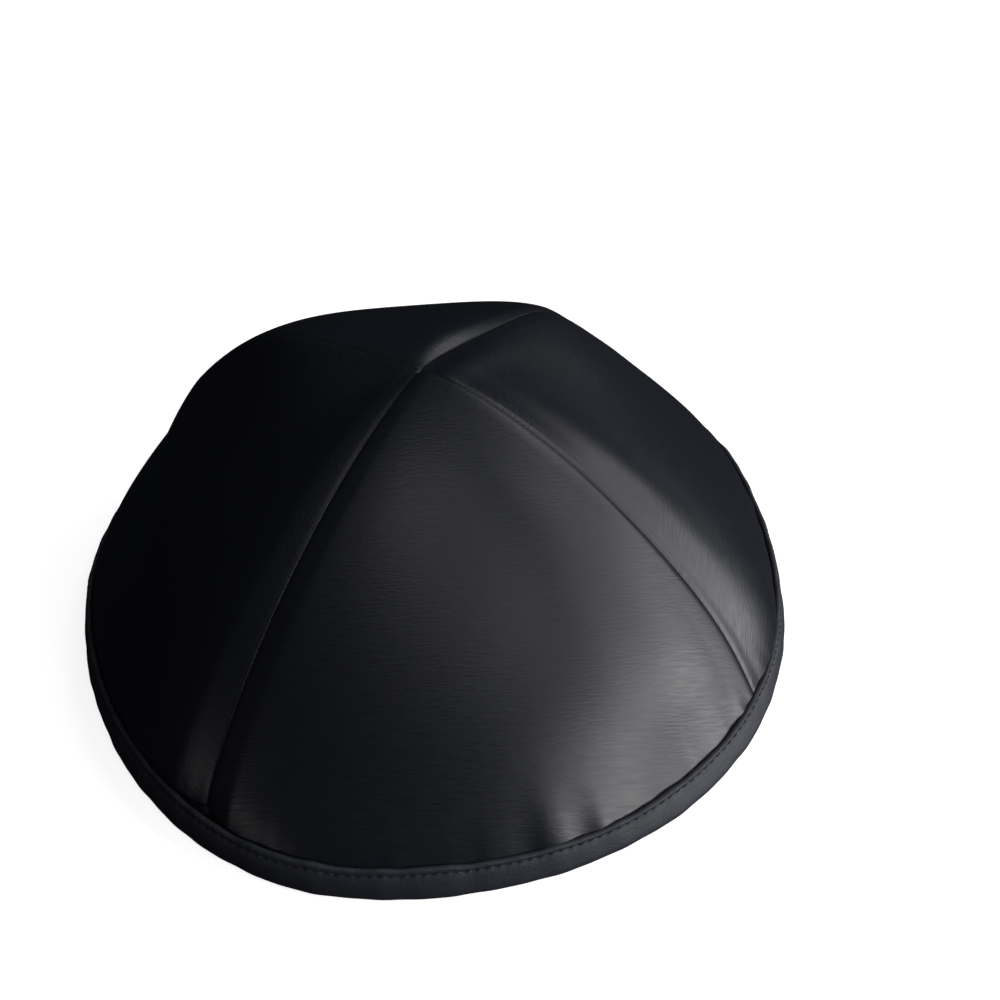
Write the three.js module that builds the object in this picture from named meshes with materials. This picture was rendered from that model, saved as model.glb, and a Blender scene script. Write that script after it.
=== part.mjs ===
// Kippah skullcap: four satin panels that meet at the crown, with a folded band bound round the rim.
// Millimetres, +Z up. The cap rests on its rim at Z = 0 and is open below. The front faces -Y.
//
// A place on the cap is given by two numbers. Azimuth is the direction from the centre, in degrees, from the
// front (-Y) round toward the right (+X). Rise goes from 0 at the rim to 1 at the crown.

import * as THREE from "three";

// Driving sizes of the dome
const RIM_RADIUS = 87;
const CAP_HEIGHT = 68.8;
const CROWN_TO_RIGHT = 4.8;
const CROWN_TO_BACK = 5.2;
const PANEL_WALL = 1.2;

// Driving sizes of the band
const BAND_WIDTH = 8;
const BAND_LEG = 1.0;
const BAND_ROUNDING = 0.4;

// Clearances between the pieces
const SEAM_GAP = 0.3;
const BAND_GAP = 0.3;

// The panels stop at this distance from the crown, where their points are too narrow to go on
const TIP_RADIUS = 0.6;

// How the rim's plan departs from a circle. Each row adds a number of even lobes round the rim, the first at
// its azimuth in degrees, and size is a share of RIM_RADIUS. Four lobes give a soft corner at each seam.
const RIM_LOBES = [
  { lobes: 1, azimuth: 68, size: 0.0055 },
  { lobes: 2, azimuth: 36, size: 0.0095 },
  { lobes: 3, azimuth: 9, size: 0.019 },
  { lobes: 4, azimuth: 51, size: 0.0175 },
];

// The seams in order round the cap, each where the panel before it meets the panel after it. roundness is the
// exponent by which the profile draws in from the rim to the crown, and steepness the one by which it climbs:
// 2 and 2 is an ellipse, and less is flatter. sway bows the seam at mid height and twist turns its top, both
// in degrees.
const SEAMS = [
  { name: "front_left", azimuth: -42, roundness: 1.42, steepness: 1.68, sway: 0.8, twist: -4 },
  { name: "front_right", azimuth: 53, roundness: 1.6, steepness: 1.24, sway: 3.5, twist: 15 },
  { name: "back_right", azimuth: 134.5, roundness: 1.6, steepness: 1.98, sway: 2, twist: 24 },
  { name: "back_left", azimuth: 226, roundness: 1.96, steepness: 2, sway: 1.7, twist: -1.5 },
];

// The panels in the same order, each from the seam of its own row to the seam of the next row, with the
// roundness and steepness at its middle.
const PANELS = [
  { name: "panel_front", roundness: 1.45, steepness: 1.37 },
  { name: "panel_right", roundness: 1.45, steepness: 1.48 },
  { name: "panel_back", roundness: 1.93, steepness: 1.63 },
  { name: "panel_left", roundness: 1.35, steepness: 1.72 },
];

// Soft dents (negative) and swells (positive) of the cloth. azimuth and width are in degrees, rise and span
// in shares of the way up, and depth is a share of RIM_RADIUS.
const FOLDS = [
  { name: "left_dent", azimuth: -108, width: 30, rise: 0.29, span: 0.09, depth: -0.038 },
  { name: "left_swell", azimuth: -125, width: 30, rise: 0.7, span: 0.14, depth: 0.039 },
  { name: "right_swell", azimuth: 114, width: 25, rise: 0.15, span: 0.09, depth: 0.032 },
  { name: "right_shoulder", azimuth: 128, width: 25, rise: 0.56, span: 0.12, depth: 0.038 },
  { name: "back_swell", azimuth: 206, width: 30, rise: 0.61, span: 0.2, depth: 0.03 },
  { name: "front_foot_swell", azimuth: -25, width: 18, rise: 0.124, span: 0.12, depth: 0.029 },
  { name: "front_foot_dent", azimuth: 38.5, width: 18, rise: 0.184, span: 0.12, depth: -0.019 },
  { name: "front_hollow", azimuth: 4.5, width: 20, rise: 0.57, span: 0.18, depth: -0.008 },
  { name: "right_front_swell", azimuth: 80, width: 15, rise: 0.25, span: 0.2, depth: 0.0125 },
];

// How finely each piece is divided
const PANEL_COLUMNS = 14;
const PANEL_ROWS = 16;
const BAND_LEG_ROWS = 3;

const FULL_TURN = 360;
const TWIST_POWER = 6;
const CROWN_LEAN_POWER = 1.5;
const MIDDLE_POWER = 2.2;

const PANEL_COLOR = 0x0b0b0e;
const BAND_COLOR = 0x15161b;
const SATIN_ROUGHNESS = 0.42;

// Azimuth of a seam at a given rise. Seam number 4 is seam 0 again, one full turn further on.
function seamAzimuth(number, rise) {
  const seam = SEAMS[number % SEAMS.length];
  const turn = number < SEAMS.length ? 0 : FULL_TURN;
  const bow = seam.sway * Math.sin(Math.PI * rise);
  return seam.azimuth + turn + bow + seam.twist * rise ** TWIST_POWER;
}

// Distance of the rim from the centre at an azimuth.
function rimRadius(azimuth) {
  let share = 1;
  for (const row of RIM_LOBES) {
    share += row.size * Math.cos(row.lobes * THREE.MathUtils.degToRad(azimuth - row.azimuth));
  }
  return RIM_RADIUS * share;
}

// Roundness and steepness of the profile at a place across a panel, from 0 at its first seam to 1 at its next.
function profileAcross(panelNumber, across) {
  const first = SEAMS[panelNumber];
  const next = SEAMS[(panelNumber + 1) % SEAMS.length];
  const middle = PANELS[panelNumber];
  const middleShare = 1 - Math.abs(2 * across - 1) ** MIDDLE_POWER;
  const blend = (column) => {
    const atSeams = THREE.MathUtils.lerp(first[column], next[column], across);
    return THREE.MathUtils.lerp(atSeams, middle[column], middleShare);
  };
  return { roundness: blend("roundness"), steepness: blend("steepness") };
}

// How far the folds push the cloth outward at a place, in millimetres.
function foldPush(azimuth, rise) {
  let push = 0;
  for (const fold of FOLDS) {
    const halfTurn = FULL_TURN / 2;
    const aside = THREE.MathUtils.euclideanModulo(azimuth - fold.azimuth + halfTurn, FULL_TURN) - halfTurn;
    const fade = Math.exp(-((aside / fold.width) ** 2) - ((rise - fold.rise) / fold.span) ** 2);
    push += fold.depth * RIM_RADIUS * fade;
  }
  return push;
}

// The point of the cap's outer face at a place, and the direction in which the cloth's thickness is counted.
function capPlace(panelNumber, across, rise) {
  const azimuthStart = seamAzimuth(panelNumber, rise);
  const azimuthEnd = seamAzimuth(panelNumber + 1, rise);
  const azimuth = THREE.MathUtils.lerp(azimuthStart, azimuthEnd, across);
  const angle = THREE.MathUtils.degToRad(azimuth);
  const climb = (rise * Math.PI) / 2;
  const profile = profileAcross(panelNumber, across);
  const radius = rimRadius(azimuth) * Math.cos(climb) ** (2 / profile.roundness);
  const height = CAP_HEIGHT * Math.sin(climb) ** (2 / profile.steepness);
  const level = new THREE.Vector3(Math.sin(angle), -Math.cos(angle), 0);
  const outward = level.clone().multiplyScalar(radius / RIM_RADIUS ** 2);
  outward.z = height / CAP_HEIGHT ** 2;
  outward.normalize();
  const lean = rise ** CROWN_LEAN_POWER;
  const point = level.multiplyScalar(radius);
  point.add(new THREE.Vector3(CROWN_TO_RIGHT * lean, CROWN_TO_BACK * lean, height));
  point.addScaledVector(outward, foldPush(azimuth, rise));
  return { point, outward };
}

// The rise at which the cap reaches a height above the rim, before the folds.
function riseAtHeight(panelNumber, across, height) {
  const { steepness } = profileAcross(panelNumber, across);
  return (Math.asin((height / CAP_HEIGHT) ** (steepness / 2)) * 2) / Math.PI;
}

// The rise at which the cap has closed in to a distance from the crown.
function riseAtRadius(panelNumber, across, distance) {
  const { roundness } = profileAcross(panelNumber, across);
  return (Math.acos((distance / RIM_RADIUS) ** (roundness / 2)) * 2) / Math.PI;
}

// A place of the cap's outer face, moved outward by an offset.
function offsetPoint(place, offset) {
  return place.point.clone().addScaledVector(place.outward, offset);
}

// Two triangles for each four-cornered face a, b, c, d, seen from outside in that turning order.
function addQuad(faces, a, b, c, d) {
  faces.push(a, b, c, a, c, d);
}

function meshGeometry(points, faces) {
  const geometry = new THREE.BufferGeometry().setFromPoints(points);
  geometry.setIndex(faces);
  geometry.computeVertexNormals();
  return geometry;
}

// A closed wall between two grids of points with the same rows and columns, joined round their edges.
function wallGeometry(outerRows, innerRows) {
  const rows = outerRows.length;
  const columns = outerRows[0].length;
  const points = [...outerRows.flat(), ...innerRows.flat()];
  const outer = (row, column) => row * columns + column;
  const inner = (row, column) => rows * columns + outer(row, column);
  const faces = [];
  for (let row = 0; row + 1 < rows; row++) {
    for (let column = 0; column + 1 < columns; column++) {
      const [right, up] = [column + 1, row + 1];
      addQuad(faces, outer(row, column), outer(row, right), outer(up, right), outer(up, column));
      addQuad(faces, inner(row, column), inner(up, column), inner(up, right), inner(row, right));
    }
  }
  const last = columns - 1;
  const top = rows - 1;
  for (let row = 0; row < top; row++) {
    addQuad(faces, outer(row, 0), outer(row + 1, 0), inner(row + 1, 0), inner(row, 0));
    addQuad(faces, outer(row, last), inner(row, last), inner(row + 1, last), outer(row + 1, last));
  }
  for (let column = 0; column < last; column++) {
    addQuad(faces, outer(0, column), inner(0, column), inner(0, column + 1), outer(0, column + 1));
    addQuad(faces, outer(top, column), outer(top, column + 1), inner(top, column + 1), inner(top, column));
  }
  return meshGeometry(points, faces);
}

// One panel, from just above the band's fold to the crown, set back from its seams by half the seam gap.
function panelGeometry(panelNumber) {
  const outerRows = [];
  const innerRows = [];
  const lowestHeight = BAND_LEG + BAND_GAP;
  for (let row = 0; row <= PANEL_ROWS; row++) {
    const outerRow = [];
    const innerRow = [];
    for (let column = 0; column <= PANEL_COLUMNS; column++) {
      const evenly = column / PANEL_COLUMNS;
      const start = riseAtHeight(panelNumber, evenly, lowestHeight);
      const end = riseAtRadius(panelNumber, evenly, TIP_RADIUS);
      const rise = THREE.MathUtils.lerp(start, end, row / PANEL_ROWS);
      const firstEdge = capPlace(panelNumber, 0, rise).point;
      const width = firstEdge.distanceTo(capPlace(panelNumber, 1, rise).point);
      const setBack = SEAM_GAP / 2 / width;
      const place = capPlace(panelNumber, THREE.MathUtils.lerp(setBack, 1 - setBack, evenly), rise);
      outerRow.push(place.point);
      innerRow.push(offsetPoint(place, -PANEL_WALL));
    }
    outerRows.push(outerRow);
    innerRows.push(innerRow);
  }
  return wallGeometry(outerRows, innerRows);
}

// The band's section as steps of height above the rim and offset from the panels' outer face. It goes up
// the outside, over the top edge, down into the fold that holds the panels and round the inner leg.
function bandSection() {
  const legInside = BAND_GAP;
  const legOutside = BAND_GAP + BAND_LEG;
  const steps = [];
  const rowsUp = Array.from({ length: BAND_LEG_ROWS + 1 }, (unused, row) => row / BAND_LEG_ROWS);
  const rowsDown = [...rowsUp].reverse();
  const outsideHeight = (share) => THREE.MathUtils.lerp(BAND_ROUNDING, BAND_WIDTH - BAND_ROUNDING, share);
  const foldHeight = (share) => THREE.MathUtils.lerp(BAND_LEG, BAND_WIDTH, share);
  const backOf = (offset) => -PANEL_WALL - offset;
  steps.push([0, legOutside - BAND_ROUNDING]);
  rowsUp.forEach((share) => steps.push([outsideHeight(share), legOutside]));
  steps.push([BAND_WIDTH, legOutside - BAND_ROUNDING]);
  rowsDown.forEach((share) => steps.push([foldHeight(share), legInside]));
  rowsUp.forEach((share) => steps.push([foldHeight(share), backOf(legInside)]));
  steps.push([BAND_WIDTH, backOf(legOutside - BAND_ROUNDING)]);
  rowsDown.forEach((share) => steps.push([outsideHeight(share), backOf(legOutside)]));
  steps.push([0, backOf(legOutside - BAND_ROUNDING)]);
  return steps;
}

// The band, a folded strip that wraps the panels' lower edge all the way round.
function bandGeometry() {
  const section = bandSection();
  const points = [];
  PANELS.forEach((panel, panelNumber) => {
    for (let column = 0; column < PANEL_COLUMNS; column++) {
      const across = column / PANEL_COLUMNS;
      for (const [height, offset] of section) {
        const rise = riseAtHeight(panelNumber, across, height);
        points.push(offsetPoint(capPlace(panelNumber, across, rise), offset));
      }
    }
  });
  const stations = PANELS.length * PANEL_COLUMNS;
  const corner = (station, step) => (station % stations) * section.length + (step % section.length);
  const faces = [];
  for (let station = 0; station < stations; station++) {
    for (let step = 0; step < section.length; step++) {
      const [ahead, up] = [station + 1, step + 1];
      addQuad(faces, corner(station, step), corner(ahead, step), corner(ahead, up), corner(station, up));
    }
  }
  return meshGeometry(points, faces);
}

function satin(color) {
  return new THREE.MeshStandardMaterial({ color, roughness: SATIN_ROUGHNESS, metalness: 0 });
}

function namedMesh(name, geometry, color) {
  const mesh = new THREE.Mesh(geometry, satin(color));
  mesh.name = name;
  return mesh;
}

const cap = new THREE.Group();
PANELS.forEach((panel, panelNumber) => {
  cap.add(namedMesh(panel.name, panelGeometry(panelNumber), PANEL_COLOR));
});
cap.add(namedMesh("rim_band", bandGeometry(), BAND_COLOR));

// The origin is the centre of the cap's plan, on the surface that the cap rests on.
const extent = new THREE.Box3().setFromObject(cap);
const planCentre = extent.getCenter(new THREE.Vector3());
cap.position.set(-planCentre.x, -planCentre.y, -extent.min.z);
cap.updateMatrixWorld(true);

export default cap;
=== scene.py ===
"""The looks of the kippah skullcap: four satin panels, a bound rim with stitching, a floor and soft light.

Lengths are millimetres until a mesh is made, which puts them into metres. A place on the cap is given as in
the construction: azimuth in degrees from the front (-Y) round toward the right (+X), and rise from 0 at the
rim to 1 at the crown. across runs from 0 at a panel's first seam to 1 at its next one. Tables of seams and
panels go round the cap from the front panel toward the right, and a seam's number is the number of the panel
that it starts.
"""
import math

import bpy
import numpy as np
from mathutils import Matrix, Vector


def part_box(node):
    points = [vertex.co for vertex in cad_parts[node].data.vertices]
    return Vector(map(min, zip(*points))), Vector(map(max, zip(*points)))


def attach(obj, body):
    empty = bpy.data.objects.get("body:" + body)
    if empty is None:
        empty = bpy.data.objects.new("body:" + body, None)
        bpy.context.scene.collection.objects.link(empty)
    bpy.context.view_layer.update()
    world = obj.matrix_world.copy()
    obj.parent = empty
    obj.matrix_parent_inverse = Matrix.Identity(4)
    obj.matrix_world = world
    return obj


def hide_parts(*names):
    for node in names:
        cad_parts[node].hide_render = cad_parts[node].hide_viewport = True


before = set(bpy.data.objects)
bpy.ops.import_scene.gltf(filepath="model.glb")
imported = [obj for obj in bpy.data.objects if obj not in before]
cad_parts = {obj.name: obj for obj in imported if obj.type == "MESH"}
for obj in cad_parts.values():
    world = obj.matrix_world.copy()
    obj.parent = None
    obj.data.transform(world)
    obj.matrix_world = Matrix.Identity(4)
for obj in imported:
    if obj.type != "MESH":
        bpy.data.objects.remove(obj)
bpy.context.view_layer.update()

MM = 0.001
FULL_TURN = 360.0

# Sizes of the dome, as constructed
RIM_RADIUS = 87.0
CAP_HEIGHT = 68.8
CROWN_TO_RIGHT = 4.8
CROWN_TO_BACK = 5.2
TWIST_POWER = 6
CROWN_LEAN_POWER = 1.5
MIDDLE_POWER = 2.2
TIP_RADIUS = 0.15

# Sizes of the cloth and the band. The panels start inside the band, at the height of their foot above the
# rim. The gap is between the band's legs and the panels, and the solid one is that of the constructed band.
CLOTH_WALL = 1.2
BAND_WIDTH = 8.0
BAND_LEG = 1.0
BAND_GAP = 0.1
SOLID_BAND_GAP = 0.3
PANEL_FOOT = 1.4

# How the rim's plan departs from a circle: a size is a share of the rim's radius
RIM_LOBES = [
    {"lobes": 1, "azimuth": 68, "size": 0.0055},
    {"lobes": 2, "azimuth": 36, "size": 0.0095},
    {"lobes": 3, "azimuth": 9, "size": 0.019},
    {"lobes": 4, "azimuth": 51, "size": 0.0175},
]

# Each seam's place and profile. The profile is an ellipse where roundness and steepness are 2, and leaner
# where they are less. sway and twist are in degrees.
SEAMS = [
    {"name": "front_left", "azimuth": -42, "roundness": 1.42, "steepness": 1.68, "sway": 0.8, "twist": -4},
    {"name": "front_right", "azimuth": 53, "roundness": 1.6, "steepness": 1.24, "sway": 3.5, "twist": 15},
    {"name": "back_right", "azimuth": 134.5, "roundness": 1.6, "steepness": 1.98, "sway": 2, "twist": 24},
    {"name": "back_left", "azimuth": 226, "roundness": 1.96, "steepness": 2, "sway": 1.7, "twist": -1.5},
]

# Each panel's profile at its middle, and the turn of its weft in degrees
PANELS = [
    {"name": "panel_front", "roundness": 1.45, "steepness": 1.37, "weft_turn": -9},
    {"name": "panel_right", "roundness": 1.45, "steepness": 1.48, "weft_turn": 4},
    {"name": "panel_back", "roundness": 1.93, "steepness": 1.63, "weft_turn": -3},
    {"name": "panel_left", "roundness": 1.35, "steepness": 1.72, "weft_turn": 5},
]

# Soft dents (negative) and swells of the cloth, as constructed: width in degrees, depth as a share of the
# rim's radius
FOLDS = [
    {"name": "left_dent", "azimuth": -108, "width": 30, "rise": 0.29, "span": 0.09, "depth": -0.038},
    {"name": "left_swell", "azimuth": -125, "width": 30, "rise": 0.7, "span": 0.14, "depth": 0.039},
    {"name": "right_swell", "azimuth": 114, "width": 25, "rise": 0.15, "span": 0.09, "depth": 0.032},
    {"name": "right_shoulder", "azimuth": 128, "width": 25, "rise": 0.56, "span": 0.12, "depth": 0.038},
    {"name": "back_swell", "azimuth": 206, "width": 30, "rise": 0.61, "span": 0.2, "depth": 0.03},
    {"name": "front_foot_swell", "azimuth": -25, "width": 18, "rise": 0.124, "span": 0.12, "depth": 0.029},
    {"name": "front_foot_dent", "azimuth": 38.5, "width": 18, "rise": 0.184, "span": 0.12, "depth": -0.019},
    {"name": "front_hollow", "azimuth": 4.5, "width": 20, "rise": 0.57, "span": 0.18, "depth": -0.008},
    {"name": "right_front_swell", "azimuth": 80, "width": 15, "rise": 0.25, "span": 0.2, "depth": 0.0125},
]

# How each seam draws the cloth in, in millimetres: a narrow groove, and an even slope on either side that
# sinks toward the seam, or rises where the sink is negative. before and after are the slopes' widths on the
# panels before and after the seam. The slopes narrow toward the crown. The rows are in the order of SEAMS.
SEAM_PULLS = [
    {"groove": 0.1, "sink": 1.9, "before": 10, "after": 8},
    {"groove": 0.2, "sink": -0.6, "before": 8, "after": 4},
    {"groove": 0.15, "sink": 1.2, "before": 7, "after": 5},
    {"groove": 0.2, "sink": 0.2, "before": 6, "after": 6},
]
SLOPE_NARROWING = 0.6
GROOVE_WIDTH = 0.7
SLOPE_ROUNDING = 0.12
SEAM_BLEND = 6.0

# Long soft ridges (positive) and hollows that run along a seam, on the panel before or after it. distance,
# width and height are in millimetres. rise and span say how far up the seam they lie. They fade at the
# crown.
SEAM_RIDGES = [
    {"seam": 1, "side": "before", "rise": 0.78, "span": 0.26, "distance": 0, "width": 7, "height": 1.1},
    {"seam": 1, "side": "after", "rise": 0.78, "span": 0.26, "distance": 0, "width": 5, "height": 1.1},
    {"seam": 1, "side": "after", "rise": 0.5, "span": 0.25, "distance": 11, "width": 6, "height": 0.7},
    {"seam": 1, "side": "after", "rise": 0.2, "span": 0.2, "distance": 18, "width": 10, "height": 1.3},
    {"seam": 2, "side": "before", "rise": 0.88, "span": 0.16, "distance": 0, "width": 5, "height": -1.7},
    {"seam": 2, "side": "before", "rise": 0.86, "span": 0.16, "distance": 9, "width": 4.5, "height": 0.5},
    {"seam": 2, "side": "after", "rise": 0.88, "span": 0.16, "distance": 0, "width": 2.5, "height": -1.7},
]
RIDGE_FADE_POWER = 10

# Puckers that stand up just above the band: width in degrees, reach and height in millimetres
PUCKERS = [
    {"azimuth": 3.5, "width": 2.6, "reach": 8, "height": 0.22},
    {"azimuth": 12.5, "width": 2.8, "reach": 10, "height": 0.7},
    {"azimuth": 20, "width": 2.1, "reach": 6, "height": 0.4},
    {"azimuth": 50, "width": 0.9, "reach": 3, "height": 0.4},
    {"azimuth": -60, "width": 2.0, "reach": 7, "height": 0.3},
    {"azimuth": 96, "width": 1.8, "reach": 6, "height": 0.3},
    {"azimuth": 158, "width": 2.0, "reach": 7, "height": 0.35},
    {"azimuth": 214, "width": 1.8, "reach": 7, "height": 0.35},
]

# Fine waves in the cloth above the band and in the band itself: a number of waves round the rim, each with
# its start in degrees and its height in millimetres
CLOTH_WAVES = [
    {"waves": 47, "start": 3, "height": 0.05},
    {"waves": 83, "start": 1, "height": 0.04},
    {"waves": 127, "start": 2, "height": 0.025},
]
CLOTH_WAVE_REACH = 5.0
BAND_WAVES = [
    {"waves": 19, "start": 8, "height": 0.07},
    {"waves": 41, "start": 2, "height": 0.06},
    {"waves": 73, "start": 1, "height": 0.04},
]

# Where the band shows wider or narrower, because it lies flatter or turns under: width is in degrees, and
# size is a share of the band's width
BAND_CHANGES = [
    {"azimuth": -55, "width": 35, "size": 0.22},
    {"azimuth": 33, "width": 45, "size": -0.34},
    {"azimuth": 56, "width": 14, "size": -0.16},
]

# How much more the band's upper edge waves up and down than its face waves in and out, and the height at
# which the edge's waves begin
EDGE_WAVE_SHARE = 1.5
EDGE_WAVE_START = 2.0

# The band's topstitching: a stitch reaches to either side of its middle by its share of the pitch, and dives
# in at both ends. It pulls the band in over the width of its row, and under its middle by a share of the
# dip.
STITCHES_PER_PANEL = 64
STITCH_HEIGHT = 6.7
STITCH_SHARE = 0.36
STITCH_DIP = 0.16
STITCH_DIP_UNDER = 0.4
STITCH_DIVE = 0.3
STITCH_ROW_WIDTH = 0.8
THREAD_RADIUS = 0.15

# The seam allowances, pressed flat inside the panels
ALLOWANCE_WIDTH = 6.0
ALLOWANCE_WALL = 0.45
ALLOWANCE_EDGE = 0.8

# The cloth is plain up to this height above its foot, where the band holds it
HELD_HEIGHT = 1.0

# Finenesses of the meshes. A share of the panels' columns crowds toward the seams.
PANEL_COLUMNS = 150
PANEL_ROWS = 150
CROWDED_SHARE = 0.55
BAND_STATIONS_PER_PANEL = 4 * STITCHES_PER_PANEL
STITCH_RINGS = 7
STITCH_SIDES = 6


def seam_azimuth(number, rise):
    """Where a seam lies at a height. The numbers go on past the last seam, one turn further round."""
    seam = SEAMS[number % len(SEAMS)]
    turn = FULL_TURN * (number // len(SEAMS))
    return seam["azimuth"] + turn + seam["sway"] * np.sin(np.pi * rise) + seam["twist"] * rise**TWIST_POWER


def rim_radius(azimuth):
    """The plan's radius at the rim."""
    share = 1.0
    for row in RIM_LOBES:
        share = share + row["size"] * np.cos(row["lobes"] * np.radians(azimuth - row["azimuth"]))
    return RIM_RADIUS * share


def profile_across(panel, across, column):
    """Roundness or steepness of the profile at a place across a panel."""
    first = SEAMS[panel][column]
    following = SEAMS[(panel + 1) % len(SEAMS)][column]
    middle_share = 1 - np.abs(2 * across - 1) ** MIDDLE_POWER
    at_seams = first + (following - first) * across
    return at_seams + (PANELS[panel][column] - at_seams) * middle_share


def angle_between(azimuth, other):
    """The turn from one azimuth to another by the shorter way, in degrees."""
    return (azimuth - other + FULL_TURN / 2) % FULL_TURN - FULL_TURN / 2


def fold_push(azimuth, rise):
    """How far the dents and swells move the cloth outward."""
    push = 0.0
    for fold in FOLDS:
        aside = angle_between(azimuth, fold["azimuth"]) / fold["width"]
        along = (rise - fold["rise"]) / fold["span"]
        push = push + fold["depth"] * RIM_RADIUS * np.exp(-(aside**2) - along**2)
    return push


def cap_azimuth(panel, across, rise):
    """The azimuth of a place between a panel's two seams."""
    start = seam_azimuth(panel, rise)
    return start + (seam_azimuth(panel + 1, rise) - start) * across


def cap_surface(panel, across, rise):
    """Points of the outer face and the shared outward directions there."""
    azimuth = cap_azimuth(panel, across, rise)
    angle = np.radians(azimuth)
    climb = rise * np.pi / 2
    cosine = np.clip(np.cos(climb), 0, 1)
    radius = rim_radius(azimuth) * cosine ** (2 / profile_across(panel, across, "roundness"))
    height = CAP_HEIGHT * np.sin(climb) ** (2 / profile_across(panel, across, "steepness"))
    level = np.stack([np.sin(angle), -np.cos(angle)], -1)
    level_part = level * (radius / RIM_RADIUS**2)[..., None]
    upward_part = (height / CAP_HEIGHT**2)[..., None]
    outward = np.concatenate([level_part, upward_part], -1)
    outward /= np.linalg.norm(outward, axis=-1)[..., None]
    lean = rise**CROWN_LEAN_POWER
    plan = level * radius[..., None] + np.stack([CROWN_TO_RIGHT * lean, CROWN_TO_BACK * lean], -1)
    points = np.concatenate([plan, height[..., None]], -1)
    return points + outward * fold_push(azimuth, rise)[..., None], outward


def rise_at_height(panel, across, height):
    """The rise at which the plain dome, without its folds, reaches a height."""
    steepness = profile_across(panel, across, "steepness")
    return np.arcsin((height / CAP_HEIGHT) ** (steepness / 2)) * 2 / np.pi


def rise_at_radius(panel, across, distance):
    """The rise at which the plain dome comes within a distance of the crown."""
    roundness = profile_across(panel, across, "roundness")
    return np.arccos((distance / RIM_RADIUS) ** (roundness / 2)) * 2 / np.pi


# Columns across each panel of the constructed cap
SOLID_COLUMNS = 14


def plan_shift():
    """Moves the cap so that its band fills the same plan as the constructed one."""
    low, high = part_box("rim_band")
    points = []
    for panel in range(len(PANELS)):
        across = np.arange(SOLID_COLUMNS) / SOLID_COLUMNS
        place, outward = cap_surface(panel, across, rise_at_height(panel, across, BAND_LEG))
        points.append(place + outward * (BAND_LEG + SOLID_BAND_GAP))
    points = np.concatenate(points)
    middle = (points.min(0) + points.max(0)) / 2
    frame_middle = (low + high) / 2 / MM
    return np.array([frame_middle.x - middle[0], frame_middle.y - middle[1], 0.0])


SHIFT = plan_shift()


def smooth_step(value, start, end):
    """A soft change from 0 at the start to 1 at the end."""
    share = np.clip((value - start) / (end - start), 0, 1)
    return share * share * (3 - 2 * share)


def grid_normals(points):
    """Outward directions of a grid whose columns run round the cap and whose rows run up it."""
    along = np.gradient(points, axis=1)
    up = np.gradient(points, axis=0)
    normals = np.cross(along, up)
    length = np.linalg.norm(normals, axis=-1)[..., None]
    return normals / np.maximum(length, 1e-9)


def wave_sum(waves, azimuth):
    """The height of all waves of a table together."""
    return sum(row["height"] * np.sin(row["waves"] * np.radians(azimuth - row["start"])) for row in waves)


def seam_lift(panel, rise, to_first, to_next):
    """How the seams on both sides shape a panel's outer face."""
    lift = np.zeros_like(to_first)
    sides = [(panel, "after", to_first), ((panel + 1) % len(SEAMS), "before", to_next)]
    for seam, side, distance in sides:
        pull = SEAM_PULLS[seam]
        lift -= pull["groove"] * np.exp(-((distance / GROOVE_WIDTH) ** 2))
        shrink = 1 - SLOPE_NARROWING * rise
        left = 1 - distance / (pull[side] * shrink)
        lift -= pull["sink"] * shrink**2 * 0.5 * (left + np.sqrt(left**2 + SLOPE_ROUNDING**2))
        for row in SEAM_RIDGES:
            if row["seam"] == seam and row["side"] == side:
                along = (rise - row["rise"]) / row["span"]
                aside = (distance - row["distance"]) / row["width"]
                lift += row["height"] * np.exp(-(along**2) - aside**2) * (1 - rise**RIDGE_FADE_POWER)
    return lift


def band_share(azimuth):
    """The band's width as a share of its usual one."""
    share = 1.0
    for row in BAND_CHANGES:
        aside = angle_between(azimuth, row["azimuth"]) / row["width"]
        share = share + row["size"] * np.exp(-(aside**2))
    return share


def rim_lift(azimuth, above_band):
    """The small gathers of the cloth where the band holds it."""
    lift = wave_sum(CLOTH_WAVES, azimuth) * np.exp(-above_band / CLOTH_WAVE_REACH)
    for row in PUCKERS:
        aside = angle_between(azimuth, row["azimuth"]) / row["width"]
        lift = lift + row["height"] * np.exp(-(aside**2) - (above_band / row["reach"]) ** 2)
    return lift


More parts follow.
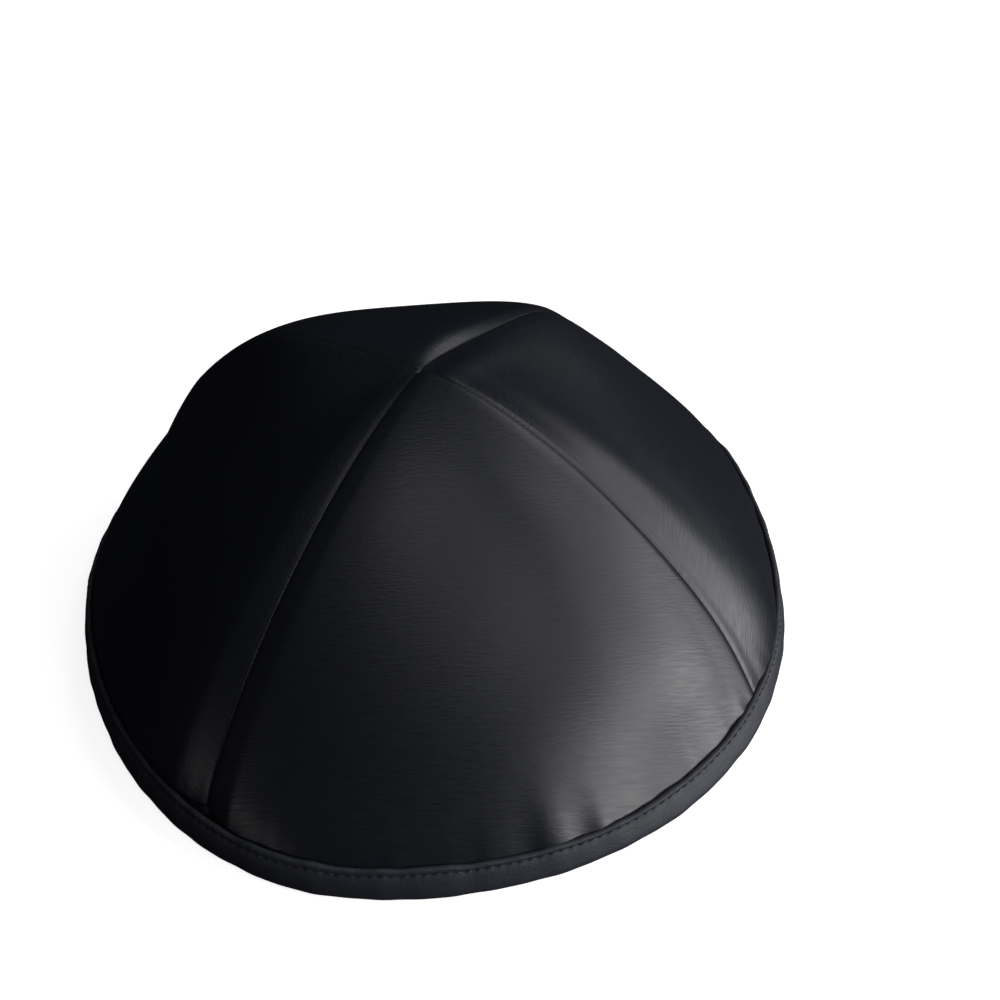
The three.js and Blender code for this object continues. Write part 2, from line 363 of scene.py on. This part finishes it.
def cloth_panel(panel):
    """The outer and inner grids of one panel, and its cloth coordinates in millimetres."""
    steps = np.arange(PANEL_COLUMNS + 1) / PANEL_COLUMNS
    crowded = 0.5 - 0.5 * np.cos(np.pi * steps)
    columns = (1 - CROWDED_SHARE) * steps + CROWDED_SHARE * crowded
    rows = np.arange(PANEL_ROWS + 1) / PANEL_ROWS
    across, row_share = np.meshgrid(columns, rows)
    start = rise_at_height(panel, across, PANEL_FOOT)
    end = rise_at_radius(panel, across, TIP_RADIUS)
    rise = start + (end - start) * row_share
    base, outward = cap_surface(panel, across, rise)
    normals = grid_normals(base)
    steps_along = np.linalg.norm(np.diff(base, axis=1), axis=-1)
    from_first = np.concatenate([np.zeros((len(rows), 1)), np.cumsum(steps_along, axis=1)], axis=1)
    width = from_first[:, -1:]
    to_next = width - from_first
    near = np.minimum(from_first, to_next)
    steps_up = np.linalg.norm(np.diff(base, axis=0), axis=-1)
    climbed = np.concatenate([np.zeros((1, len(columns))), np.cumsum(steps_up, axis=0)], axis=0)
    share = smooth_step(near, 0, SEAM_BLEND)[..., None]
    direction = outward * (1 - share) + normals * share
    direction /= np.linalg.norm(direction, axis=-1)[..., None]
    azimuth = cap_azimuth(panel, across, rise)
    covered = BAND_WIDTH * band_share(azimuth) - PANEL_FOOT
    above_band = np.maximum(climbed - covered, 0)
    held = smooth_step(climbed, HELD_HEIGHT, covered)
    lift = seam_lift(panel, rise, from_first, to_next)
    lift += rim_lift(azimuth, above_band)
    outer = base + direction * (lift * held)[..., None]
    beyond = smooth_step(near, ALLOWANCE_WIDTH - ALLOWANCE_EDGE, ALLOWANCE_WIDTH)
    allowance = ALLOWANCE_WALL * (1 - beyond) * held
    sunk = np.minimum(lift, 0) * held
    inner = base - outward * (CLOTH_WALL + allowance - sunk)[..., None]
    return outer, inner, flat_cloth(panel, base)


def flat_cloth(panel, points):
    """Where each point lies on the cloth, as if laid flat, in millimetres along and across the weft."""
    middle = np.radians(cap_azimuth(panel, 0.5, 0.0))
    slant = np.array([np.sin(middle) * RIM_RADIUS, -np.cos(middle) * RIM_RADIUS, -CAP_HEIGHT])
    upward = -slant / np.linalg.norm(slant)
    sideways = np.array([np.cos(middle), np.sin(middle), 0.0])
    turn = math.radians(PANELS[panel]["weft_turn"])
    weft = sideways * math.cos(turn) + upward * math.sin(turn)
    warp = upward * math.cos(turn) - sideways * math.sin(turn)
    return np.stack([points @ weft, points @ warp, np.zeros(points.shape[:2])], -1)


def mesh_object(name, points, faces, materials, material_indices=None, cloth=None):
    """A smooth mesh from points in millimetres, with its cloth coordinates where it has some."""
    mesh = bpy.data.meshes.new(name)
    mesh.from_pydata(((points + SHIFT) * MM).tolist(), [], faces)
    for material in materials:
        mesh.materials.append(material)
    mesh.polygons.foreach_set("use_smooth", [True] * len(mesh.polygons))
    if material_indices is not None:
        mesh.polygons.foreach_set("material_index", material_indices)
    if cloth is not None:
        layer = mesh.attributes.new("cloth_mm", "FLOAT_VECTOR", "POINT")
        layer.data.foreach_set("vector", cloth.astype(np.float32).ravel())
    mesh.update()
    thing = bpy.data.objects.new(name, mesh)
    bpy.context.scene.collection.objects.link(thing)
    return thing


def wall_faces(rows, columns):
    """Quads of a closed wall between two grids, and which of them face inward."""
    def outer(row, column):
        return row * columns + column

    def inner(row, column):
        return rows * columns + outer(row, column)

    faces = []
    inside = []
    for row in range(rows - 1):
        for column in range(columns - 1):
            right, up = column + 1, row + 1
            faces.append((outer(row, column), outer(row, right), outer(up, right), outer(up, column)))
            faces.append((inner(row, column), inner(up, column), inner(up, right), inner(row, right)))
            inside += [0, 1]
    last, top = columns - 1, rows - 1
    for row in range(top):
        up = row + 1
        faces.append((outer(row, 0), outer(up, 0), inner(up, 0), inner(row, 0)))
        faces.append((outer(row, last), inner(row, last), inner(up, last), outer(up, last)))
        inside += [1, 1]
    for column in range(last):
        right = column + 1
        faces.append((outer(0, column), inner(0, column), inner(0, right), outer(0, right)))
        faces.append((outer(top, column), outer(top, right), inner(top, right), inner(top, column)))
        inside += [1, 1]
    return faces, inside


def make_panel(panel, materials):
    """One panel as a closed wall, satin outside and its reverse inside."""
    outer, inner, cloth = cloth_panel(panel)
    rows, columns = outer.shape[:2]
    faces, inside = wall_faces(rows, columns)
    points = np.concatenate([outer.reshape(-1, 3), inner.reshape(-1, 3)])
    both = np.concatenate([cloth.reshape(-1, 3), cloth.reshape(-1, 3)])
    node = PANELS[panel]["name"]
    piece = mesh_object("cloth_" + node, points, faces, materials, inside, both)
    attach(piece, "root")
    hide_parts(node)


BAND_FACE = BAND_GAP + BAND_LEG + 0.4


def band_section():
    """The folded strip's section as heights above the rim and offsets from the panels' outer face.

    It goes out along the rim, up the outside with the dip at the stitches, over the upper edge, down to the
    panels' foot, under it and up to the inner edge, and back down inside.
    """
    outside = BAND_FACE
    inside = -(CLOTH_WALL + BAND_GAP + BAND_LEG)
    steps = [(0.0, -1.6), (0.0, 0.4), (0.15, outside * 0.75), (0.6, outside * 0.92)]
    steps += [(height, outside) for height in (1.2, 2.2, 3.4, 4.6, 5.6)]
    steps += [(6.2, outside * 0.97), (6.5, outside * 0.88), (6.9, outside * 0.88), (7.2, outside * 0.98)]
    steps += [(7.6, outside), (7.9, outside * 0.9), (BAND_WIDTH, outside * 0.6), (7.9, outside * 0.3)]
    steps += [(7.5, BAND_GAP), (5.0, BAND_GAP), (3.0, BAND_GAP), (PANEL_FOOT - 0.2, BAND_GAP)]
    steps += [(PANEL_FOOT - 0.2, -CLOTH_WALL - BAND_GAP), (3.0, -CLOTH_WALL - BAND_GAP)]
    steps += [(7.5, -CLOTH_WALL - BAND_GAP), (7.9, inside + 0.7), (BAND_WIDTH, inside + 0.4)]
    steps += [(7.85, inside + 0.1), (7.5, inside), (6.7, inside + 0.15), (5.6, inside), (3.0, inside)]
    steps += [(1.2, inside), (0.6, inside + 0.1), (0.15, inside + 0.4)]
    return np.array(steps)


def band_place(panel, across, height, offset):
    """Points of the band, with its waves, at heights above the rim and offsets from the panels' face."""
    azimuth = cap_azimuth(panel, across, rise_at_height(panel, across, height))
    height = PANEL_FOOT + (height - PANEL_FOOT) * np.where(height > PANEL_FOOT, band_share(azimuth), 1)
    wave = wave_sum(BAND_WAVES, azimuth)
    upper = smooth_step(height, EDGE_WAVE_START, STITCH_HEIGHT)
    outside = smooth_step(offset, 0, BAND_LEG)
    raised = height + upper * wave * EDGE_WAVE_SHARE
    place, outward = cap_surface(panel, across, rise_at_height(panel, across, raised))
    return place + outward * (offset + outside * wave)[..., None]


def stitch_dip(across, height):
    """How far the stitches pull the band in, most between two of them and least under the middle of one."""
    between = 0.5 + 0.5 * np.cos(2 * np.pi * across * STITCHES_PER_PANEL)
    above_row = (height - STITCH_HEIGHT) / STITCH_ROW_WIDTH
    share = STITCH_DIP_UNDER + (1 - STITCH_DIP_UNDER) * between
    return STITCH_DIP * share * np.exp(-(above_row**2))


def make_band(material):
    """The bound rim as one closed ring, with cloth coordinates along it and across its section."""
    section = band_section()
    stations_across = np.arange(BAND_STATIONS_PER_PANEL) / BAND_STATIONS_PER_PANEL
    across, step = np.meshgrid(stations_across, np.arange(len(section)), indexing="ij")
    grids = []
    for panel in range(len(PANELS)):
        height, offset = section[step, 0], section[step, 1]
        outside = smooth_step(offset, BAND_GAP, BAND_LEG)
        grids.append(band_place(panel, across, height, offset - stitch_dip(across, height) * outside))
    grid = np.concatenate(grids)
    stations, count = grid.shape[:2]
    along = np.linalg.norm(np.diff(grid[:, 0], axis=0), axis=-1)
    travelled = np.concatenate([[0.0], np.cumsum(along)])
    distance = np.repeat(travelled[:, None], count, 1)
    cloth = np.concatenate([distance[..., None], np.tile(section, (stations, 1, 1))], -1)
    faces = []
    for station in range(stations):
        here = station * count
        ahead = (station + 1) % stations * count
        for row in range(count):
            up = (row + 1) % count
            faces.append((here + row, ahead + row, ahead + up, here + up))
    piece = mesh_object("bound_rim", grid.reshape(-1, 3), faces, [material], None, cloth.reshape(-1, 3))
    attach(piece, "root")
    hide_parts("rim_band")


def make_stitches(name, surface_offset, outward_sign, material):
    """The topstitching as one joined mesh of short rounded threads that dive into the band at both ends."""
    points = []
    faces = []
    ring_share = np.linspace(-1, 1, STITCH_RINGS)
    turn = np.arange(STITCH_SIDES) * 2 * np.pi / STITCH_SIDES
    upward_share = np.cos(turn)[None, :, None]
    sideways_share = np.sin(turn)[None, :, None]
    for panel in range(len(PANELS)):
        for stitch in range(STITCHES_PER_PANEL):
            across = (stitch + 0.5 + ring_share * STITCH_SHARE) / STITCHES_PER_PANEL
            bow = THREAD_RADIUS * 0.5 - STITCH_DIVE * ring_share**2 - STITCH_DIP * STITCH_DIP_UNDER
            offset = surface_offset + outward_sign * bow
            height = np.full(STITCH_RINGS, STITCH_HEIGHT)
            centres = band_place(panel, across, height, offset)
            above = band_place(panel, across, height + 0.5, offset) - centres
            above /= np.linalg.norm(above, axis=-1)[:, None]
            along = np.gradient(centres, axis=0)
            along /= np.linalg.norm(along, axis=-1)[:, None]
            sideways = np.cross(along, above)
            radius = THREAD_RADIUS * np.sqrt(np.clip(1.02 - ring_share**2, 0, 1))
            first = len(points) * STITCH_RINGS * STITCH_SIDES
            spokes = upward_share * above[:, None] + sideways_share * sideways[:, None]
            points.append(centres[:, None] + spokes * radius[:, None, None])
            for ring in range(STITCH_RINGS - 1):
                here = first + ring * STITCH_SIDES
                there = here + STITCH_SIDES
                for side in range(STITCH_SIDES):
                    beside = (side + 1) % STITCH_SIDES
                    faces.append((here + side, here + beside, there + beside, there + side))
            last = first + (STITCH_RINGS - 1) * STITCH_SIDES
            faces.append(tuple(first + side for side in range(STITCH_SIDES)[::-1]))
            faces.append(tuple(last + side for side in range(STITCH_SIDES)))
    piece = mesh_object(name, np.concatenate([group.reshape(-1, 3) for group in points]), faces, [material])
    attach(piece, "root")


def new_material(name, color, roughness):
    """A plain material."""
    material = bpy.data.materials.new(name)
    material.use_nodes = True
    shader = material.node_tree.nodes["Principled BSDF"]
    shader.inputs["Base Color"].default_value = (*color, 1)
    shader.inputs["Roughness"].default_value = roughness
    return material


def cloth_noise(tree, stretch, detail):
    """Noise over the cloth coordinates, stretched by a scale along them and one across them."""
    place = tree.nodes.new("ShaderNodeAttribute")
    place.attribute_name = "cloth_mm"
    scaled = tree.nodes.new("ShaderNodeVectorMath")
    scaled.operation = "MULTIPLY"
    scaled.inputs[1].default_value = (*stretch, 1.0)
    noise = tree.nodes.new("ShaderNodeTexNoise")
    noise.inputs["Scale"].default_value = 1.0
    noise.inputs["Detail"].default_value = detail
    tree.links.new(place.outputs["Vector"], scaled.inputs[0])
    tree.links.new(scaled.outputs["Vector"], noise.inputs["Vector"])
    return noise.outputs["Fac"]


NOISE_LOW = 0.3
NOISE_HIGH = 0.7


def spread(tree, value, low, high):
    """Maps the usual range of a noise value to the range from low to high."""
    node = tree.nodes.new("ShaderNodeMapRange")
    node.inputs["From Min"].default_value = NOISE_LOW
    node.inputs["From Max"].default_value = NOISE_HIGH
    node.inputs["To Min"].default_value = low
    node.inputs["To Max"].default_value = high
    tree.links.new(value, node.inputs["Value"])
    return node.outputs["Result"]


GLOSS_UNEVENNESS = 0.03


def woven_material(name, color, roughness, threads, slubs, relief):
    """Cloth with fine threads and thicker slubs that run along its weft, and a slightly uneven gloss.

    threads and slubs are each a scale along the weft and one across it, and relief is in millimetres.
    """
    material = new_material(name, color, roughness)
    tree = material.node_tree
    shader = tree.nodes["Principled BSDF"]
    fine = cloth_noise(tree, threads, 0.0)
    broad = cloth_noise(tree, slubs, 1.0)
    total = tree.nodes.new("ShaderNodeMath")
    total.operation = "ADD"
    tree.links.new(fine, total.inputs[0])
    tree.links.new(broad, total.inputs[1])
    bump = tree.nodes.new("ShaderNodeBump")
    bump.inputs["Strength"].default_value = 1.0
    bump.inputs["Distance"].default_value = relief * MM
    tree.links.new(total.outputs["Value"], bump.inputs["Height"])
    tree.links.new(bump.outputs["Normal"], shader.inputs["Normal"])
    uneven = spread(tree, broad, roughness - GLOSS_UNEVENNESS, roughness + GLOSS_UNEVENNESS)
    tree.links.new(uneven, shader.inputs["Roughness"])
    return material


SATIN_COLOR = (0.009, 0.010, 0.015)
REVERSE_COLOR = (0.014, 0.014, 0.016)
# The band's tone is lighter than the panels' satin. This is partly its own matte weave and partly a painted
# reflection of the pale floor, which the floor does not give because it is hidden from glossy rays. The
# thread's tone is matched to the band's, painted reflection included.
BAND_COLOR_WITH_PAINTED_REFLECTION = (0.022, 0.024, 0.034)
THREAD_COLOR_WITH_PAINTED_REFLECTION = (0.019, 0.020, 0.027)

satin = woven_material("black_satin", SATIN_COLOR, 0.385, (0.5, 2.4), (0.2, 1.5), 0.028)
reverse = woven_material("satin_reverse", REVERSE_COLOR, 0.75, (1.5, 1.5), (0.3, 1.5), 0.1)
binding = woven_material("band_satin", BAND_COLOR_WITH_PAINTED_REFLECTION, 0.6, (2.0, 2.0), (0.3, 1.4), 0.05)
thread = new_material("stitch_thread", THREAD_COLOR_WITH_PAINTED_REFLECTION, 0.5)
for number in range(len(PANELS)):
    make_panel(number, [satin, reverse])
make_band(binding)
make_stitches("topstitching_outside", BAND_FACE - 0.1, 1, thread)
make_stitches("topstitching_inside", -(CLOTH_WALL + BAND_GAP + BAND_LEG - 0.15), -1, thread)

# The floor, half of its side in metres
FLOOR_HALF = 3.0
FLOOR_GLOW = 0.82


def make_floor():
    """A pale floor that glows a little, so that it stays near white, and isn't mirrored in the satin."""
    mesh = bpy.data.meshes.new("studio_floor")
    corners = [(-FLOOR_HALF, -FLOOR_HALF, 0), (FLOOR_HALF, -FLOOR_HALF, 0)]
    corners += [(FLOOR_HALF, FLOOR_HALF, 0), (-FLOOR_HALF, FLOOR_HALF, 0)]
    mesh.from_pydata(corners, [], [(0, 1, 2, 3)])
    floor = bpy.data.objects.new("studio_floor", mesh)
    bpy.context.scene.collection.objects.link(floor)
    material = new_material("pale_floor", (0.9, 0.9, 0.9), 0.9)
    shader = material.node_tree.nodes["Principled BSDF"]
    shader.inputs["Emission Color"].default_value = (1, 1, 1, 1)
    shader.inputs["Emission Strength"].default_value = FLOOR_GLOW
    mesh.materials.append(material)
    floor.visible_glossy = False
    floor.visible_diffuse = False


make_floor()

# The camera looks from the front, half-way up, and leans a little to one side. Its distance and aim are in
# millimetres, with the lens in millimetres of a film 36 wide.
CAMERA_DISTANCE = 420.0
CAMERA_ELEVATION = 45.45
CAMERA_ROLL = 5.65
CAMERA_LENS = 59.68
CAMERA_AIM = (21.8, 33.4, 0.0)
CAMERA_FILM = 36


def make_camera():
    """The camera at the photo's angle."""
    elevation = math.radians(CAMERA_ELEVATION)
    position = Vector((0, -math.cos(elevation), math.sin(elevation))) * CAMERA_DISTANCE
    aim = Vector(CAMERA_AIM)
    ahead = (aim - position).normalized()
    right = ahead.cross(Vector((0, 0, 1))).normalized()
    up = right.cross(ahead)
    roll = math.radians(CAMERA_ROLL)
    rolled_right = right * math.cos(roll) - up * math.sin(roll)
    rolled_up = right * math.sin(roll) + up * math.cos(roll)
    data = bpy.data.cameras.new("camera")
    data.lens = CAMERA_LENS
    data.sensor_width = CAMERA_FILM
    data.clip_start = 0.01
    camera = bpy.data.objects.new("camera", data)
    turn = Matrix((rolled_right, rolled_up, -ahead)).transposed().to_4x4()
    camera.matrix_world = Matrix.Translation((position + Vector(SHIFT)) * MM) @ turn
    bpy.context.scene.collection.objects.link(camera)
    bpy.context.scene.camera = camera


make_camera()

# Soft discs of light: a wide low window at the right, weaker ones above it and beside it, and a faint one at
# the left. Power is in watts. All have one size and one distance from the cap's place, in metres.
LIGHTS = [
    {"name": "window_left", "azimuth": 45, "elevation": 4, "power": 4.4},
    {"name": "window_middle", "azimuth": 75, "elevation": 4, "power": 4.8},
    {"name": "window_right", "azimuth": 90, "elevation": 4, "power": 0.6},
    {"name": "window_upper_left", "azimuth": 35, "elevation": 20, "power": 1.6},
    {"name": "window_upper_middle", "azimuth": 60, "elevation": 20, "power": 2.4},
    {"name": "window_upper_right", "azimuth": 90, "elevation": 20, "power": 2.2},
    {"name": "side_right", "azimuth": 112, "elevation": 28, "power": 1.2},
    {"name": "high_right", "azimuth": 106, "elevation": 50, "power": 1.3},
    {"name": "high_back", "azimuth": 130, "elevation": 50, "power": 0.8},
    {"name": "high_middle", "azimuth": 70, "elevation": 40, "power": 0.8},
    {"name": "high_front", "azimuth": 30, "elevation": 56, "power": 0.8},
    {"name": "ceiling", "azimuth": 0, "elevation": 80, "power": 0.7},
    {"name": "left_glow", "azimuth": 300, "elevation": 4, "power": 0.4},
]
LIGHT_SIZE = 0.45
LIGHT_DISTANCE = 1.2
SURROUNDINGS_COLOR = (0.006, 0.007, 0.010)


def make_light(row):
    """One disc of light that faces the cap's place."""
    azimuth = math.radians(row["azimuth"])
    elevation = math.radians(row["elevation"])
    level = math.cos(elevation)
    side = Vector((math.sin(azimuth) * level, -math.cos(azimuth) * level, math.sin(elevation)))
    data = bpy.data.lights.new(row["name"], "AREA")
    data.shape = "DISK"
    data.size = LIGHT_SIZE
    data.energy = row["power"]
    light = bpy.data.objects.new(row["name"], data)
    light.location = side * LIGHT_DISTANCE
    light.rotation_mode = "QUATERNION"
    light.rotation_quaternion = side.to_track_quat("Z", "Y")
    bpy.context.scene.collection.objects.link(light)


for row in LIGHTS:
    make_light(row)

world = bpy.data.worlds.new("studio_world")
world.use_nodes = True
world.node_tree.nodes["Background"].inputs["Color"].default_value = (*SURROUNDINGS_COLOR, 1)
bpy.context.scene.world = world
bpy.context.scene.view_settings.view_transform = "Standard"
